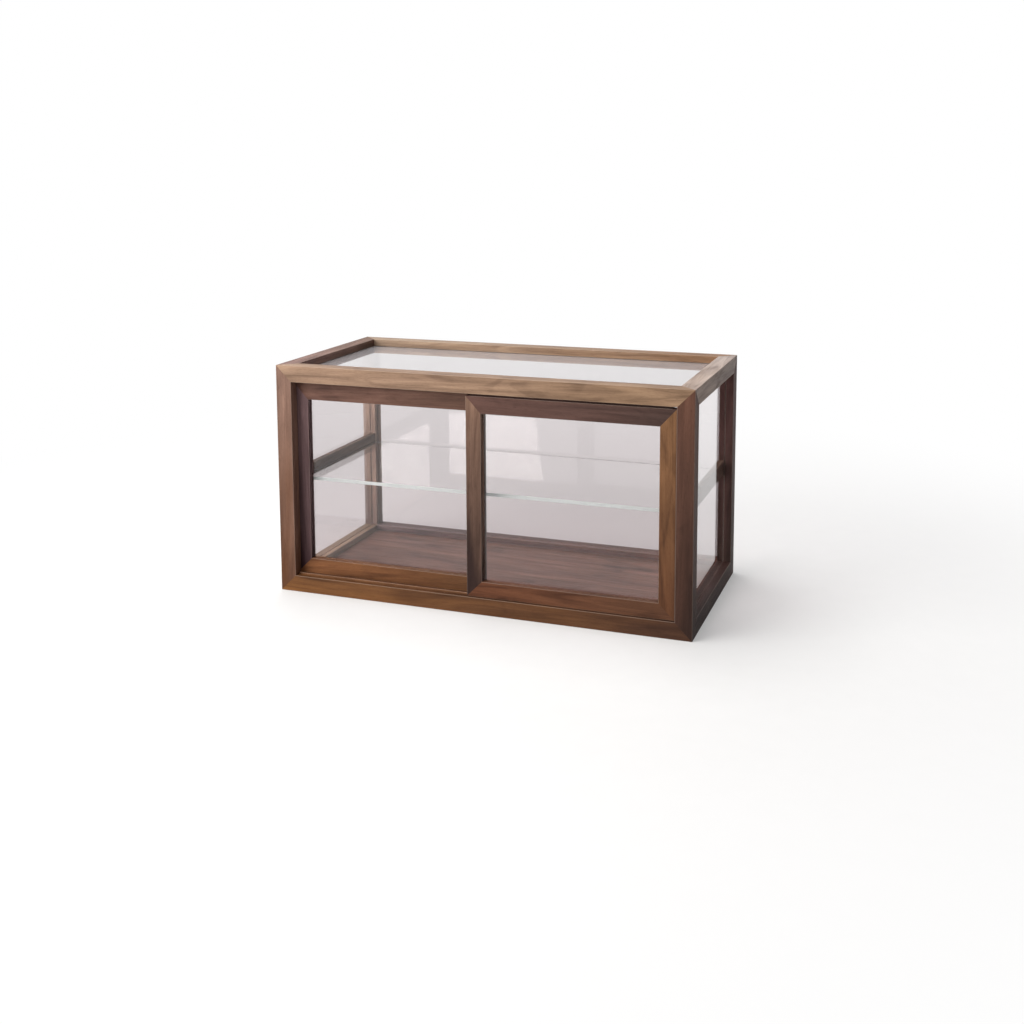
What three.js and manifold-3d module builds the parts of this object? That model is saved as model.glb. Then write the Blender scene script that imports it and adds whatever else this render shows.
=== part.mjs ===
// A glass showcase in a mitred wooden frame, with two sliding doors and a glass shelf.
// Millimetres, +Z up, front towards -Y, origin at the centre of the base.
import * as THREE from 'three';
import { ConvexGeometry } from 'three/addons/geometries/ConvexGeometry.js';
import { mergeVertices } from 'three/addons/utils/BufferGeometryUtils.js';
import Module from 'manifold-3d';

const wasm = await Module();
wasm.setup();

// ---- Driving dimensions -------------------------------------------------------------------

const WIDTH = 510;               // outside, along X
const DEPTH = 250;               // outside, along Y
const HEIGHT = 280;              // outside, along Z
const SECTION = 20;              // square section of all twelve frame members
const GLUE_LINE = 0.06;          // half the joint left at each mitre

const PANE_T = 3;                // top, side and back glass
const TOP_PANE_RISE = 7.5;       // underside of the top glass above the rails' lower faces
const PANE_GROOVE = 6;           // depth of the grooves that hold the glass
const PANE_FIT = 0.2;            // clearance on each face of a pane
const PANE_END_GAP = 0.5;        // clearance at a pane's edges

const BOARD_T = 7;               // floor board
const BOARD_LIFT = 5;            // underside of the board above the base
const BOARD_GROOVE = 5;

const DOOR_T = 11;
const DOOR_SPACING = 1.5;        // gap between the front door and the rear door
const DOOR_LAP = 16.5;           // overlap of the two doors at the middle
const DOOR_SIDE_GAP = 0.5;       // front door to the post that it closes on
const DOOR_FOOT_GAP = 0.5;       // under the doors
const DOOR_HEAD_GAP = 2.7;       // over the doors, so that they lift off their runners
const STILE_W = 18.5;
const DOOR_FOOT_RAIL_H = 18.4;
const DOOR_HEAD_RAIL_H = 20.3;
const DOOR_PANE_T = 2.5;
const DOOR_PANE_SETBACK = 5.9;   // glass behind the door's face
const DOOR_PANE_GROOVE = 5;

const TONGUE_T = 3;              // tongue on the door's head, in the head groove
const TONGUE_OFFSET = 5.5;       // tongue behind the door's face
const TONGUE_LIFT = 2.8;         // how far the tongue reaches into the head groove
const TONGUE_INSET = 5.4;        // tongue shorter than the door at each end
const TONGUE_FIT = 0.5;
const HEAD_GROOVE = 6;           // depth of the front head groove

const RUNNER_W = 2.8;            // rib that a door slides on
const RUNNER_OFFSET = 5.3;       // rib behind the door's face
const RUNNER_RISE = 2;           // rib above the sill
const RUNNER_SEAT = 2;           // rib let into the sill
const RUNNER_FIT = 0.4;          // door groove beside the rib
const RUNNER_CLEARANCE = 0.3;    // door groove above the rib

const JAMB_REBATE = 5;           // rear door's stile goes this far into the post
const JAMB_GAP = 1;
const JAMB_WALL = 2;             // wood left between that rebate and the side glass
const TRACK_MARGIN = 1.6;        // strips behind the front rails stand out past the rear door
const HEAD_STRIP_CLEARANCE = 0.5;
const HEAD_STRIP_FLANGE = 1.7;   // roof of the rear door's channel

const SHELF_T = 4;
const SHELF_LEVEL = 138.5;       // top of the shelf above the base
const SHELF_BITE = 4.2;          // how far each end of the shelf reaches into its bar
const SHELF_FRONT_GAP = 2.6;     // behind the rear door
const SHELF_BAR_RISE = 11.5;     // grooved bars at the shelf's ends, above the shelf
const SHELF_BAR_LIP = 3;         // the same bars, below the shelf

const DOWEL_R = 2;
const DOWEL_L = 12;
const DOWEL_DEPTH = 5;           // dowel axis behind the frame's front or back face
const DOWEL_INSET = 7;           // dowel centre from the opening's corner
const KEY_T = 2;                 // loose key in each door mitre
const KEY_ACROSS = 10;
const KEY_ALONG = 8;
const KEY_SETBACK = 2;

const HANGER_W = 46;             // keyhole plates let into the back
const HANGER_H = 15;
const HANGER_T = 1.6;
const HANGER_SPAN = 360;         // between the two keyholes
const KEYHOLE_R = 4.5;
const KEYHOLE_SLOT_R = 2.3;
const KEYHOLE_RISE = 6;
const HANGER_DROP = 0.5;         // keyhole below the middle of the rail
const HANGER_POCKET_WALL = 3.5;  // wood left between the screw head's pocket and the back glass
const HANGER_SCREW_SPAN = 34;
const SCREW_HEAD_R = 3;
const SCREW_SHANK_R = 1.3;
const SCREW_L = 9;
const SCREW_TIP = 2;

const FIT = 0.15;                // pressed-in dowels, pegs, keys and screws
const CONTACT = 0.25;            // faces that rest on each other
const OVERCUT = 1;               // how far a cutter runs past the face it opens

// ---- Materials -------------------------------------------------------------------------------

const caseWood = new THREE.MeshStandardMaterial({ color: 0x7d5638, roughness: 0.5, metalness: 0 });
const doorWood = new THREE.MeshStandardMaterial({ color: 0x6e4a31, roughness: 0.5, metalness: 0 });
const boardWood = new THREE.MeshStandardMaterial({ color: 0x84695f, roughness: 0.55, metalness: 0 });
const palePin = new THREE.MeshStandardMaterial({ color: 0xc9a878, roughness: 0.7, metalness: 0 });
const glass = new THREE.MeshStandardMaterial({ color: 0xdfe9e6, roughness: 0.05, metalness: 0 });
const shelfGlass = new THREE.MeshStandardMaterial({ color: 0xc6dfdb, roughness: 0.05, metalness: 0 });
const steel = new THREE.MeshStandardMaterial({ color: 0xb4b6b8, roughness: 0.35, metalness: 0.9 });

// ---- Solids ----------------------------------------------------------------------------------

function toSolid(geometry) {
  const bare = geometry.clone();
  bare.deleteAttribute('normal');
  bare.deleteAttribute('uv');
  const merged = mergeVertices(bare, 1e-4);
  return new wasm.Manifold(new wasm.Mesh({
    numProp: 3,
    vertProperties: new Float32Array(merged.attributes.position.array),
    triVerts: new Uint32Array(merged.index.array),
  }));
}

function toGeometry(solid) {
  const mesh = solid.getMesh();
  const geometry = new THREE.BufferGeometry();
  geometry.setAttribute('position', new THREE.BufferAttribute(new Float32Array(mesh.vertProperties), 3));
  geometry.setIndex(new THREE.BufferAttribute(new Uint32Array(mesh.triVerts), 1));
  geometry.computeVertexNormals();
  return geometry;
}

// A box between two planes on each axis.
function boxGeometry([x0, x1], [y0, y1], [z0, z1]) {
  const box = new THREE.BoxGeometry(x1 - x0, y1 - y0, z1 - z0);
  box.translate((x0 + x1) / 2, (y0 + y1) / 2, (z0 + z1) / 2);
  return box;
}

const box = (x, y, z) => toSolid(boxGeometry(x, y, z));

// An outline of [x, z] points, extruded along Y between two planes.
function alongY(outline, [y0, y1]) {
  const shape = new THREE.Shape(outline.map(([x, z]) => new THREE.Vector2(x, z)));
  const prism = new THREE.ExtrudeGeometry(shape, { depth: y1 - y0, bevelEnabled: false });
  prism.rotateX(Math.PI / 2);
  prism.translate(0, y1, 0);
  return toSolid(prism);
}

// An outline of [x, y] points, extruded along Z between two planes.
function alongZ(outline, [z0, z1]) {
  const shape = new THREE.Shape(outline.map(([x, y]) => new THREE.Vector2(x, y)));
  const prism = new THREE.ExtrudeGeometry(shape, { depth: z1 - z0, bevelEnabled: false });
  prism.translate(0, 0, z0);
  return toSolid(prism);
}

const group = new THREE.Group();

function add(name, solid, material) {
  const mesh = new THREE.Mesh(toGeometry(solid), material);
  mesh.name = name;
  group.add(mesh);
  return mesh;
}

// ---- Places that follow from the dimensions ------------------------------------------------------

const OUTER = { x: WIDTH / 2, y: DEPTH / 2 };
const OPENING = { x: OUTER.x - SECTION, y: OUTER.y - SECTION };
const SILL = SECTION;
const HEAD = HEIGHT - SECTION;

// The rear door's tongue runs just behind the front rails, and the front door stands before it.
const rearDoorFace = -OPENING.y + TONGUE_FIT - TONGUE_OFFSET;
const rearDoorBack = rearDoorFace + DOOR_T;
const frontDoorFace = rearDoorFace - DOOR_SPACING - DOOR_T;
const tongueY = (face) => [face + TONGUE_OFFSET, face + TONGUE_OFFSET + TONGUE_T];
const runnerY = (face) => [face + RUNNER_OFFSET, face + RUNNER_OFFSET + RUNNER_W];
const widened = ([low, high], clearance) => [low - clearance, high + clearance];
const rearDoorEdge = OPENING.x + JAMB_REBATE - JAMB_GAP;
const frontDoorEdge = OPENING.x - DOOR_SIDE_GAP;
const doorWidth = (rearDoorEdge + frontDoorEdge + DOOR_LAP) / 2;
const doorFoot = SILL + DOOR_FOOT_GAP;
const doorHead = HEAD - DOOR_HEAD_GAP;

// The side and back glass stand behind the rear door's rebate.
const PANE_SETBACK = SECTION - JAMB_REBATE - JAMB_WALL - PANE_T;
const TOP_PANE_SETBACK = SECTION - TOP_PANE_RISE - PANE_T;
const sidePaneOuter = OUTER.x - PANE_SETBACK;
const sidePaneInner = sidePaneOuter - PANE_T;
const backPaneOuter = OUTER.y - PANE_SETBACK;
const backPaneInner = backPaneOuter - PANE_T;
const topPaneUpper = HEIGHT - TOP_PANE_SETBACK;
const topPaneLower = topPaneUpper - PANE_T;
const paneReachX = OPENING.x + PANE_GROOVE - PANE_END_GAP;
const paneReachY = OPENING.y + PANE_GROOVE - PANE_END_GAP;
const paneFoot = SILL - PANE_GROOVE + PANE_END_GAP;
const paneHead = HEAD + PANE_GROOVE - PANE_END_GAP;

// A place that lies a given depth inside the frame's outer face, on one side of one axis.
function inside(axis, side, depth) {
  if (axis === 'z') return side > 0 ? HEIGHT - depth : depth;
  return side * (OUTER[axis] - depth);
}

// ---- Frame members -------------------------------------------------------------------------------

// A member runs along one axis, on given sides of the other two. Its ends are cut for three-way
// mitres: only the edge on the outermost corner runs the whole length.
function memberEnvelope(along, sides) {
  const [u, v] = Object.keys(sides);
  const points = [];
  for (const end of [-1, 1]) {
    for (const du of [0, SECTION]) {
      for (const dv of [0, SECTION]) {
        const back = (du === 0 && dv === 0 ? 0 : SECTION) + 2 * GLUE_LINE;
        const point = new THREE.Vector3();
        point[along] = inside(along, end, back);
        point[u] = inside(u, sides[u], du);
        point[v] = inside(v, sides[v], dv);
        points.push(point);
      }
    }
  }
  return toSolid(new ConvexGeometry(points));
}

// A groove along the whole member, stated as depths inside the two outer faces.
function groove(along, sides, depths) {
  const range = {};
  range[along] = along === 'z' ? [-OVERCUT, HEIGHT + OVERCUT]
    : [-OUTER[along] - OVERCUT, OUTER[along] + OVERCUT];
  for (const axis of Object.keys(sides)) {
    const ends = depths[axis].map((depth) => inside(axis, sides[axis], depth));
    range[axis] = ends.sort((a, b) => a - b);
  }
  return box(range.x, range.y, range.z);
}

const sidePaneSlot = [PANE_SETBACK - PANE_FIT, PANE_SETBACK + PANE_T + PANE_FIT];
const topPaneSlot = [TOP_PANE_SETBACK - PANE_FIT, TOP_PANE_SETBACK + PANE_T + PANE_FIT];
const boardSlot = [BOARD_LIFT - CONTACT, BOARD_LIFT + BOARD_T + CONTACT];
const paneBite = [SECTION - PANE_GROOVE, SECTION + OVERCUT];
const boardBite = [SECTION - BOARD_GROOVE, SECTION + OVERCUT];
const tongueSlot = widened(tongueY(frontDoorFace), TONGUE_FIT).map((y) => y + OUTER.y);
const runnerSlot = widened(runnerY(frontDoorFace), FIT).map((y) => y + OUTER.y);
const jambSlot = {
  x: [SECTION - JAMB_REBATE, SECTION + OVERCUT],
  y: [rearDoorFace + OUTER.y - CONTACT * 2, SECTION + OVERCUT],
};

const sideName = (side) => (side > 0 ? 'right' : 'left');
const members = [
  {
    name: 'front_top_rail', along: 'x', sides: { y: -1, z: 1 },
    grooves: [
      { y: paneBite, z: topPaneSlot },
      { y: tongueSlot, z: [SECTION - HEAD_GROOVE, SECTION + OVERCUT] },
    ],
  },
  {
    name: 'front_bottom_rail', along: 'x', sides: { y: -1, z: -1 },
    grooves: [
      { y: boardBite, z: boardSlot },
      { y: runnerSlot, z: [SECTION - RUNNER_SEAT, SECTION + OVERCUT] },
    ],
  },
  {
    name: 'back_top_rail', along: 'x', sides: { y: 1, z: 1 },
    grooves: [{ y: paneBite, z: topPaneSlot }, { y: sidePaneSlot, z: paneBite }],
  },
  {
    name: 'back_bottom_rail', along: 'x', sides: { y: 1, z: -1 },
    grooves: [{ y: boardBite, z: boardSlot }, { y: sidePaneSlot, z: paneBite }],
  },
];
for (const side of [-1, 1]) {
  members.push(
    {
      name: `${sideName(side)}_top_rail`, along: 'y', sides: { x: side, z: 1 },
      grooves: [{ x: paneBite, z: topPaneSlot }, { x: sidePaneSlot, z: paneBite }],
    },
    {
      name: `${sideName(side)}_bottom_rail`, along: 'y', sides: { x: side, z: -1 },
      grooves: [{ x: boardBite, z: boardSlot }, { x: sidePaneSlot, z: paneBite }],
    },
    {
      name: `front_${sideName(side)}_post`, along: 'z', sides: { x: side, y: -1 },
      grooves: [{ x: sidePaneSlot, y: paneBite }, jambSlot],
    },
    {
      name: `back_${sideName(side)}_post`, along: 'z', sides: { x: side, y: 1 },
      grooves: [{ x: sidePaneSlot, y: paneBite }, { x: paneBite, y: sidePaneSlot }],
    },
  );
}

// A dowel crosses the mitre between a post and a front or back rail.
function dowelSolid(end, side, level, clearance) {
  const middle = SECTION - DOWEL_INSET;
  const pin = new THREE.CylinderGeometry(
    DOWEL_R + clearance, DOWEL_R + clearance, DOWEL_L + 2 * clearance, 16);
  pin.rotateX(Math.PI / 2);
  pin.rotateY(-end * level * Math.PI / 4);
  pin.translate(inside('x', end, middle), inside('y', side, DOWEL_DEPTH), inside('z', level, middle));
  return toSolid(pin);
}

const corners = [];
for (const side of [-1, 1]) {
  for (const end of [-1, 1]) {
    for (const level of [-1, 1]) corners.push({ side, end, level });
  }
}

// ---- Hangers -------------------------------------------------------------------------------------

const hangerZ = HEIGHT - SECTION / 2 - HANGER_DROP;

// A countersunk screw or its hole, driven forwards from the back face.
function hangerScrew(x, clearance) {
  const profile = [
    [0, 0],
    [SCREW_HEAD_R + clearance, 0],
    [SCREW_SHANK_R + clearance, HANGER_T],
    [SCREW_SHANK_R + clearance, SCREW_L - SCREW_TIP + clearance],
    [0, SCREW_L + clearance],
  ].map(([r, y]) => new THREE.Vector2(r, y));
  const screw = new THREE.LatheGeometry(profile, 20);
  screw.rotateX(Math.PI);
  screw.translate(x, OUTER.y, hangerZ);
  return screw;
}

function keyhole(x, y) {
  const slotTop = hangerZ + KEYHOLE_RISE / 2;
  const mouth = hangerZ - KEYHOLE_RISE / 2;
  const disc = (r, z) => {
    const cut = new THREE.CylinderGeometry(r, r, y[1] - y[0], 24);
    cut.translate(x, (y[0] + y[1]) / 2, z);
    return toSolid(cut);
  };
  const slot = box([x - KEYHOLE_SLOT_R, x + KEYHOLE_SLOT_R], y, [mouth, slotTop]);
  return disc(KEYHOLE_R, mouth).add(disc(KEYHOLE_SLOT_R, slotTop)).add(slot);
}

const hangers = [-1, 1].map((side) => {
  const x = side * HANGER_SPAN / 2;
  const screwXs = [-1, 1].map((half) => x + half * HANGER_SCREW_SPAN / 2);
  const recess = (grow, y) => box(
    [x - HANGER_W / 2 - grow, x + HANGER_W / 2 + grow], y,
    [hangerZ - HANGER_H / 2 - grow, hangerZ + HANGER_H / 2 + grow]);
  return { side, x, screwXs, recess };
});

function hangerCuts() {
  let cuts = null;
  for (const { x, screwXs, recess } of hangers) {
    const pocketX = [x - KEYHOLE_R - OVERCUT, x + KEYHOLE_R + OVERCUT];
    const pocketDepth = [OUTER.y - (PANE_SETBACK - HANGER_POCKET_WALL), OUTER.y + OVERCUT];
    const pocket = box(pocketX, pocketDepth,
      [hangerZ - KEYHOLE_RISE / 2 - KEYHOLE_R + OVERCUT / 2, hangerZ + KEYHOLE_RISE]);
    let cut = recess(FIT, [OUTER.y - HANGER_T - FIT, OUTER.y + OVERCUT]).add(pocket);
    for (const screwX of screwXs) cut = cut.add(toSolid(hangerScrew(screwX, FIT)));
    cuts = cuts ? cuts.add(cut) : cut;
  }
  return cuts;
}

// ---- Build the frame -----------------------------------------------------------------------------

for (const member of members) {
  let solid = memberEnvelope(member.along, member.sides);
  for (const depths of member.grooves) {
    solid = solid.subtract(groove(member.along, member.sides, depths));
  }
  for (const { side, end, level } of corners) {
    const onRail = member.along === 'x' && member.sides.y === side && member.sides.z === level;
    const onPost = member.along === 'z' && member.sides.y === side && member.sides.x === end;
    if (onRail || onPost) solid = solid.subtract(dowelSolid(end, side, level, FIT));
  }
  if (member.name === 'back_top_rail') solid = solid.subtract(hangerCuts());
  add(member.name, solid, caseWood);
}

for (const { side, end, level } of corners) {
  const place = `${side > 0 ? 'back' : 'front'}_${sideName(end)}_${level > 0 ? 'top' : 'bottom'}`;
  add(`${place}_dowel`, dowelSolid(end, side, level, 0), palePin);
}

for (const { side, x, screwXs, recess } of hangers) {
  let plate = recess(0, [OUTER.y - HANGER_T, OUTER.y]);
  plate = plate.subtract(keyhole(x, [OUTER.y - HANGER_T - OVERCUT, OUTER.y + OVERCUT]));
  for (const screwX of screwXs) plate = plate.subtract(toSolid(hangerScrew(screwX, FIT)));
  add(`${sideName(side)}_hanger_plate`, plate, steel);
  screwXs.forEach((screwX, index) => {
    const screw = toSolid(hangerScrew(screwX, 0));
    add(`${sideName(side)}_hanger_screw_${index + 1}`, screw, steel);
  });
}

// ---- Glass and floor -----------------------------------------------------------------------------

add('top_pane', box([-paneReachX, paneReachX], [-paneReachY, paneReachY],
  [topPaneLower, topPaneUpper]), glass);
add('back_pane', box([-paneReachX, paneReachX], [backPaneInner, backPaneOuter],
  [paneFoot, paneHead]), glass);
for (const side of [-1, 1]) {
  const x = [side * sidePaneInner, side * sidePaneOuter].sort((a, b) => a - b);
  add(`${sideName(side)}_pane`, box(x, [-paneReachY, paneReachY], [paneFoot, paneHead]), glass);
}
const boardReach = BOARD_GROOVE - PANE_END_GAP;
add('floor_board', box([-OPENING.x - boardReach, OPENING.x + boardReach],
  [-OPENING.y - boardReach, OPENING.y + boardReach], [BOARD_LIFT, BOARD_LIFT + BOARD_T]), boardWood);

// ---- Tracks --------------------------------------------------------------------------------------

const stripX = [-OPENING.x + DOOR_SIDE_GAP, OPENING.x - DOOR_SIDE_GAP];
const stripY = [-OPENING.y + CONTACT, rearDoorBack + TRACK_MARGIN];

// The front rail's back face is the front wall of the rear door's channel.
const headStripTop = topPaneLower - HEAD_STRIP_CLEARANCE;
const headStripFlange = headStripTop - HEAD_STRIP_FLANGE;
const headStrip = box(stripX, stripY, [HEAD, headStripTop]).subtract(
  box([-OUTER.x, OUTER.x], widened(tongueY(rearDoorFace), TONGUE_FIT),
    [HEAD - OVERCUT, headStripFlange]));
add('head_strip', headStrip, caseWood);

const sillStrip = box(stripX, stripY, [BOARD_LIFT + BOARD_T + CONTACT, SILL]).subtract(
  box([-OUTER.x, OUTER.x], widened(runnerY(rearDoorFace), FIT),
    [SILL - RUNNER_SEAT, SILL + OVERCUT]));
add('sill_strip', sillStrip, caseWood);

for (const [name, face] of [['front_runner', frontDoorFace], ['rear_runner', rearDoorFace]]) {
  add(name, box(stripX, runnerY(face), [SILL - RUNNER_SEAT + FIT, SILL + RUNNER_RISE]), doorWood);
}

// ---- Doors ---------------------------------------------------------------------------------------

// One mitred door member: an outline on the door's face, with the grooves for glass and runner cut.
function doorMember(outline, face, cuts) {
  let solid = alongY(outline, [face, face + DOOR_T]);
  for (const cut of cuts) solid = solid.subtract(cut);
  return solid;
}

// A loose key lies across the mitre that runs from an outer corner to an inner corner.
function doorKey(outer, inner, face, clearance) {
  const key = new THREE.BoxGeometry(
    KEY_ALONG + 2 * clearance, KEY_T + 2 * clearance, KEY_ACROSS + 2 * clearance);
  key.rotateY(-Math.atan2(inner[1] - outer[1], inner[0] - outer[0]));
  key.translate((outer[0] + inner[0]) / 2, face + KEY_SETBACK + KEY_T / 2, (outer[1] + inner[1]) / 2);
  return toSolid(key);
}

function makeDoor(name, left, face) {
  const right = left + doorWidth;
  const sight = {
    left: left + STILE_W, right: right - STILE_W,
    foot: doorFoot + DOOR_FOOT_RAIL_H, head: doorHead - DOOR_HEAD_RAIL_H,
  };
  const outer = {
    bl: [left, doorFoot], br: [right, doorFoot],
    tr: [right, doorHead], tl: [left, doorHead],
  };
  const inner = {
    bl: [sight.left, sight.foot], br: [sight.right, sight.foot],
    tr: [sight.right, sight.head], tl: [sight.left, sight.head],
  };
  const keys = Object.keys(outer).map((corner) => ({
    corner, key: (clearance) => doorKey(outer[corner], inner[corner], face, clearance),
  }));

  // The glass sits in a groove that runs round the whole frame.
  const glassY = [face + DOOR_PANE_SETBACK, face + DOOR_PANE_SETBACK + DOOR_PANE_T];
  const bite = DOOR_PANE_GROOVE;
  const glassSlot = box([sight.left - bite, sight.right + bite],
    widened(glassY, PANE_FIT), [sight.foot - bite, sight.head + bite]);
  const runnerGroove = box([left - OVERCUT, right + OVERCUT],
    widened(runnerY(face), RUNNER_FIT),
    [doorFoot - OVERCUT, SILL + RUNNER_RISE + RUNNER_CLEARANCE]);
  const keySlots = keys.map(({ key }) => key(FIT));
  const cuts = [glassSlot, runnerGroove, ...keySlots];

  // Each member stops a hair short of its two mitres.
  const sides = [
    ['foot_rail', 'bl', 'br'],
    ['right_stile', 'br', 'tr'],
    ['head_rail', 'tr', 'tl'],
    ['left_stile', 'tl', 'bl'],
  ];
  for (const [part, from, to] of sides) {
    const along = new THREE.Vector2(outer[to][0] - outer[from][0], outer[to][1] - outer[from][1]);
    along.normalize().multiplyScalar(GLUE_LINE * 2);
    const outline = [
      [outer[from][0] + along.x, outer[from][1] + along.y],
      [outer[to][0] - along.x, outer[to][1] - along.y],
      [inner[to][0] - along.x, inner[to][1] - along.y],
      [inner[from][0] + along.x, inner[from][1] + along.y],
    ];
    let solid = doorMember(outline, face, cuts);
    if (part === 'head_rail') {
      const tongue = box([left + TONGUE_INSET, right - TONGUE_INSET],
        tongueY(face),
        [doorHead - OVERCUT, HEAD + TONGUE_LIFT]);
      solid = solid.add(tongue);
    }
    add(`${name}_${part}`, solid, doorWood);
  }

  const reach = DOOR_PANE_GROOVE - PANE_END_GAP;
  add(`${name}_pane`, box([sight.left - reach, sight.right + reach], glassY,
    [sight.foot - reach, sight.head + reach]), glass);
  const keyNames = { bl: 'foot_left', br: 'foot_right', tr: 'head_right', tl: 'head_left' };
  for (const { corner, key } of keys) add(`${name}_key_${keyNames[corner]}`, key(0), palePin);
}

makeDoor('left_door', -rearDoorEdge, rearDoorFace);
makeDoor('right_door', frontDoorEdge - doorWidth, frontDoorFace);

// ---- Shelf ---------------------------------------------------------------------------------------

const shelfReach = OPENING.x + SHELF_BITE;
const shelfY = [rearDoorBack + SHELF_FRONT_GAP, OPENING.y - PANE_END_GAP];
const shelfZ = [SHELF_LEVEL - SHELF_T, SHELF_LEVEL];
add('shelf', box([-shelfReach, shelfReach], shelfY, shelfZ), shelfGlass);

// Grooved bars run from post to post and carry the shelf by its ends. Their front ends are
// thinned, to pass the rear door's edge.
const barX = [OPENING.x, sidePaneInner - PANE_FIT];
const barY = [-OPENING.y + CONTACT, OPENING.y - CONTACT];
const barZ = [shelfZ[0] - SHELF_BAR_LIP, shelfZ[1] + SHELF_BAR_RISE];
const thinX = rearDoorEdge + JAMB_GAP / 2;
const thinY = rearDoorBack + DOOR_SIDE_GAP;
const shelfGroove = box(widened([-shelfReach, shelfReach], CONTACT),
  [-OUTER.y, OUTER.y], widened(shelfZ, CONTACT));

for (const side of [-1, 1]) {
  const plan = [
    [barX[0], thinY], [thinX, thinY], [thinX, barY[0]],
    [barX[1], barY[0]], [barX[1], barY[1]], [barX[0], barY[1]],
  ];
  const bar = alongZ(plan.map(([x, y]) => [side * x, y]), barZ);
  add(`${sideName(side)}_shelf_bar`, bar.subtract(shelfGroove), caseWood);
}

export default group;
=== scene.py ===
# %% [markdown]
# # A glass showcase with two sliding doors
# The real thing is a small case for a table or a wall. Twelve square bars of brown hardwood are mitred
# into a frame, glass sits in grooves cut into the bars, and two framed doors slide past each other at the
# front.
# The model is made in the same order as the case: timber first, then glass, then the small fittings.

# %% Load the frame and the tools
import math
import bmesh
import bpy
from mathutils import Euler, Matrix, Vector


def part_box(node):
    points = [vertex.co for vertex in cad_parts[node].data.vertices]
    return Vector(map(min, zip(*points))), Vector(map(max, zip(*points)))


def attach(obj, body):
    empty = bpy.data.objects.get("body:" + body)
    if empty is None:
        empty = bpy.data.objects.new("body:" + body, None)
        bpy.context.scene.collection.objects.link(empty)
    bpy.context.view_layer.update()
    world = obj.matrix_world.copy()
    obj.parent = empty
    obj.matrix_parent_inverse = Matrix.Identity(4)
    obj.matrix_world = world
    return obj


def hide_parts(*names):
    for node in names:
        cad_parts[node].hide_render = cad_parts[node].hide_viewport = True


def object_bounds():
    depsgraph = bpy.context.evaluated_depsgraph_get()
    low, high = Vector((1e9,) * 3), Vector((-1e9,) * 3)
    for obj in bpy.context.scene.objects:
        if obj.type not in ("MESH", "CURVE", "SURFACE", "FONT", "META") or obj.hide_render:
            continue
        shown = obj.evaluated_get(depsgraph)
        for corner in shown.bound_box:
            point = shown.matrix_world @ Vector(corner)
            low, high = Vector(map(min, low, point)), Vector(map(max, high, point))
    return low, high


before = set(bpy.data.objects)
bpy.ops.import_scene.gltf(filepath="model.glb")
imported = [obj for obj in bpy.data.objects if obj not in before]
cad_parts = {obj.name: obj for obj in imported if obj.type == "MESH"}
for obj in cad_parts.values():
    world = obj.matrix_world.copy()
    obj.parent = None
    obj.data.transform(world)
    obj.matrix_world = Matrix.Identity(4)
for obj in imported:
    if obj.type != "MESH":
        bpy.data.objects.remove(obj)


def plain(corners):
    return [[float(value) for value in corner] for corner in corners]


cad_box = plain(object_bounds())
MM = 0.001
X, Y, Z = Vector((1, 0, 0)), Vector((0, 1, 0)), Vector((0, 0, 1))
print("outer box", cad_box)

# %% [markdown]
# ## Camera
# The case is seen from its right and a little above, with a normal lens from about a metre and a half.
# The camera tilts down only a little, and a shifted lens does the rest: a steeper tilt would frame the case
# as well, but then the posts would lean towards each other in the picture.

# %% Camera
camera_data = bpy.data.cameras.new("camera")
camera = bpy.data.objects.new("camera", camera_data)
bpy.context.scene.collection.objects.link(camera)
bpy.context.scene.camera = camera
turn, look_down, roll = math.radians(20.869), math.radians(7.392), math.radians(-0.392)
aim = Euler((math.pi / 2 - look_down, 0, turn)).to_matrix() @ Matrix.Rotation(roll, 3, "Z")
camera.location = (0.5318, -1.4734, 0.5362)  # metres
camera.rotation_euler = aim.to_euler()
camera_data.sensor_width = 36
camera_data.lens = 45.58
camera_data.shift_x = 0.0244
camera_data.shift_y = -0.1904
print("camera stands", round(camera.location.length, 2), "m from the base")

# %% [markdown]
# ## Floor and light
# A product table: a pale matt sweep that runs out of sight, a big soft box low at the front left, a
# weaker one overhead and a faint one behind. The surround could be one even grey, but the case would then
# look flat. So it is bright above and to the left and dim on the right, and the right-hand faces of the
# bars stay in shade, which is what gives the frame its shape. Looked at directly, or mirrored in glass, the
# surround is white, and the floor fades into that white with distance, as a lit paper sweep does.

# %% Helpers for shader nodes
def shader_node(tree, kind, inputs=None, **settings):
    made = tree.nodes.new("ShaderNode" + kind)
    for key, value in settings.items():
        setattr(made, key, value)
    for key, value in (inputs or {}).items():
        if isinstance(value, bpy.types.NodeSocket):
            tree.links.new(value, made.inputs[key])
        else:
            made.inputs[key].default_value = value
    return made


def new_material(name):
    material = bpy.data.materials.new(name)
    material.use_nodes = True
    material.node_tree.nodes.clear()
    return material, material.node_tree


# %% Floor
FLOOR_REACH = 30  # metres each way from the case
floor_mesh = bpy.data.meshes.new("floor")
bm = bmesh.new()
bmesh.ops.create_grid(bm, x_segments=2, y_segments=2, size=FLOOR_REACH)
bm.to_mesh(floor_mesh)
bm.free()
floor = bpy.data.objects.new("floor", floor_mesh)
bpy.context.scene.collection.objects.link(floor)


def looked_at(tree):
    """1 for rays that show a thing by eye, by mirror or through glass, and half for a soft sheen."""
    path = shader_node(tree, "LightPath").outputs
    seen = shader_node(tree, "Math", {0: path["Is Camera Ray"], 1: path["Is Singular Ray"]},
                       operation="ADD")
    sheen = shader_node(tree, "Math", {0: path["Is Glossy Ray"], 1: 0.5}, operation="MULTIPLY")
    soft = shader_node(tree, "Math", {0: seen.outputs[0], 1: sheen.outputs[0]}, operation="ADD")
    return shader_node(tree, "Math", {0: soft.outputs[0], 1: path["Is Transmission Ray"]},
                       operation="ADD", use_clamp=True).outputs[0]


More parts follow.
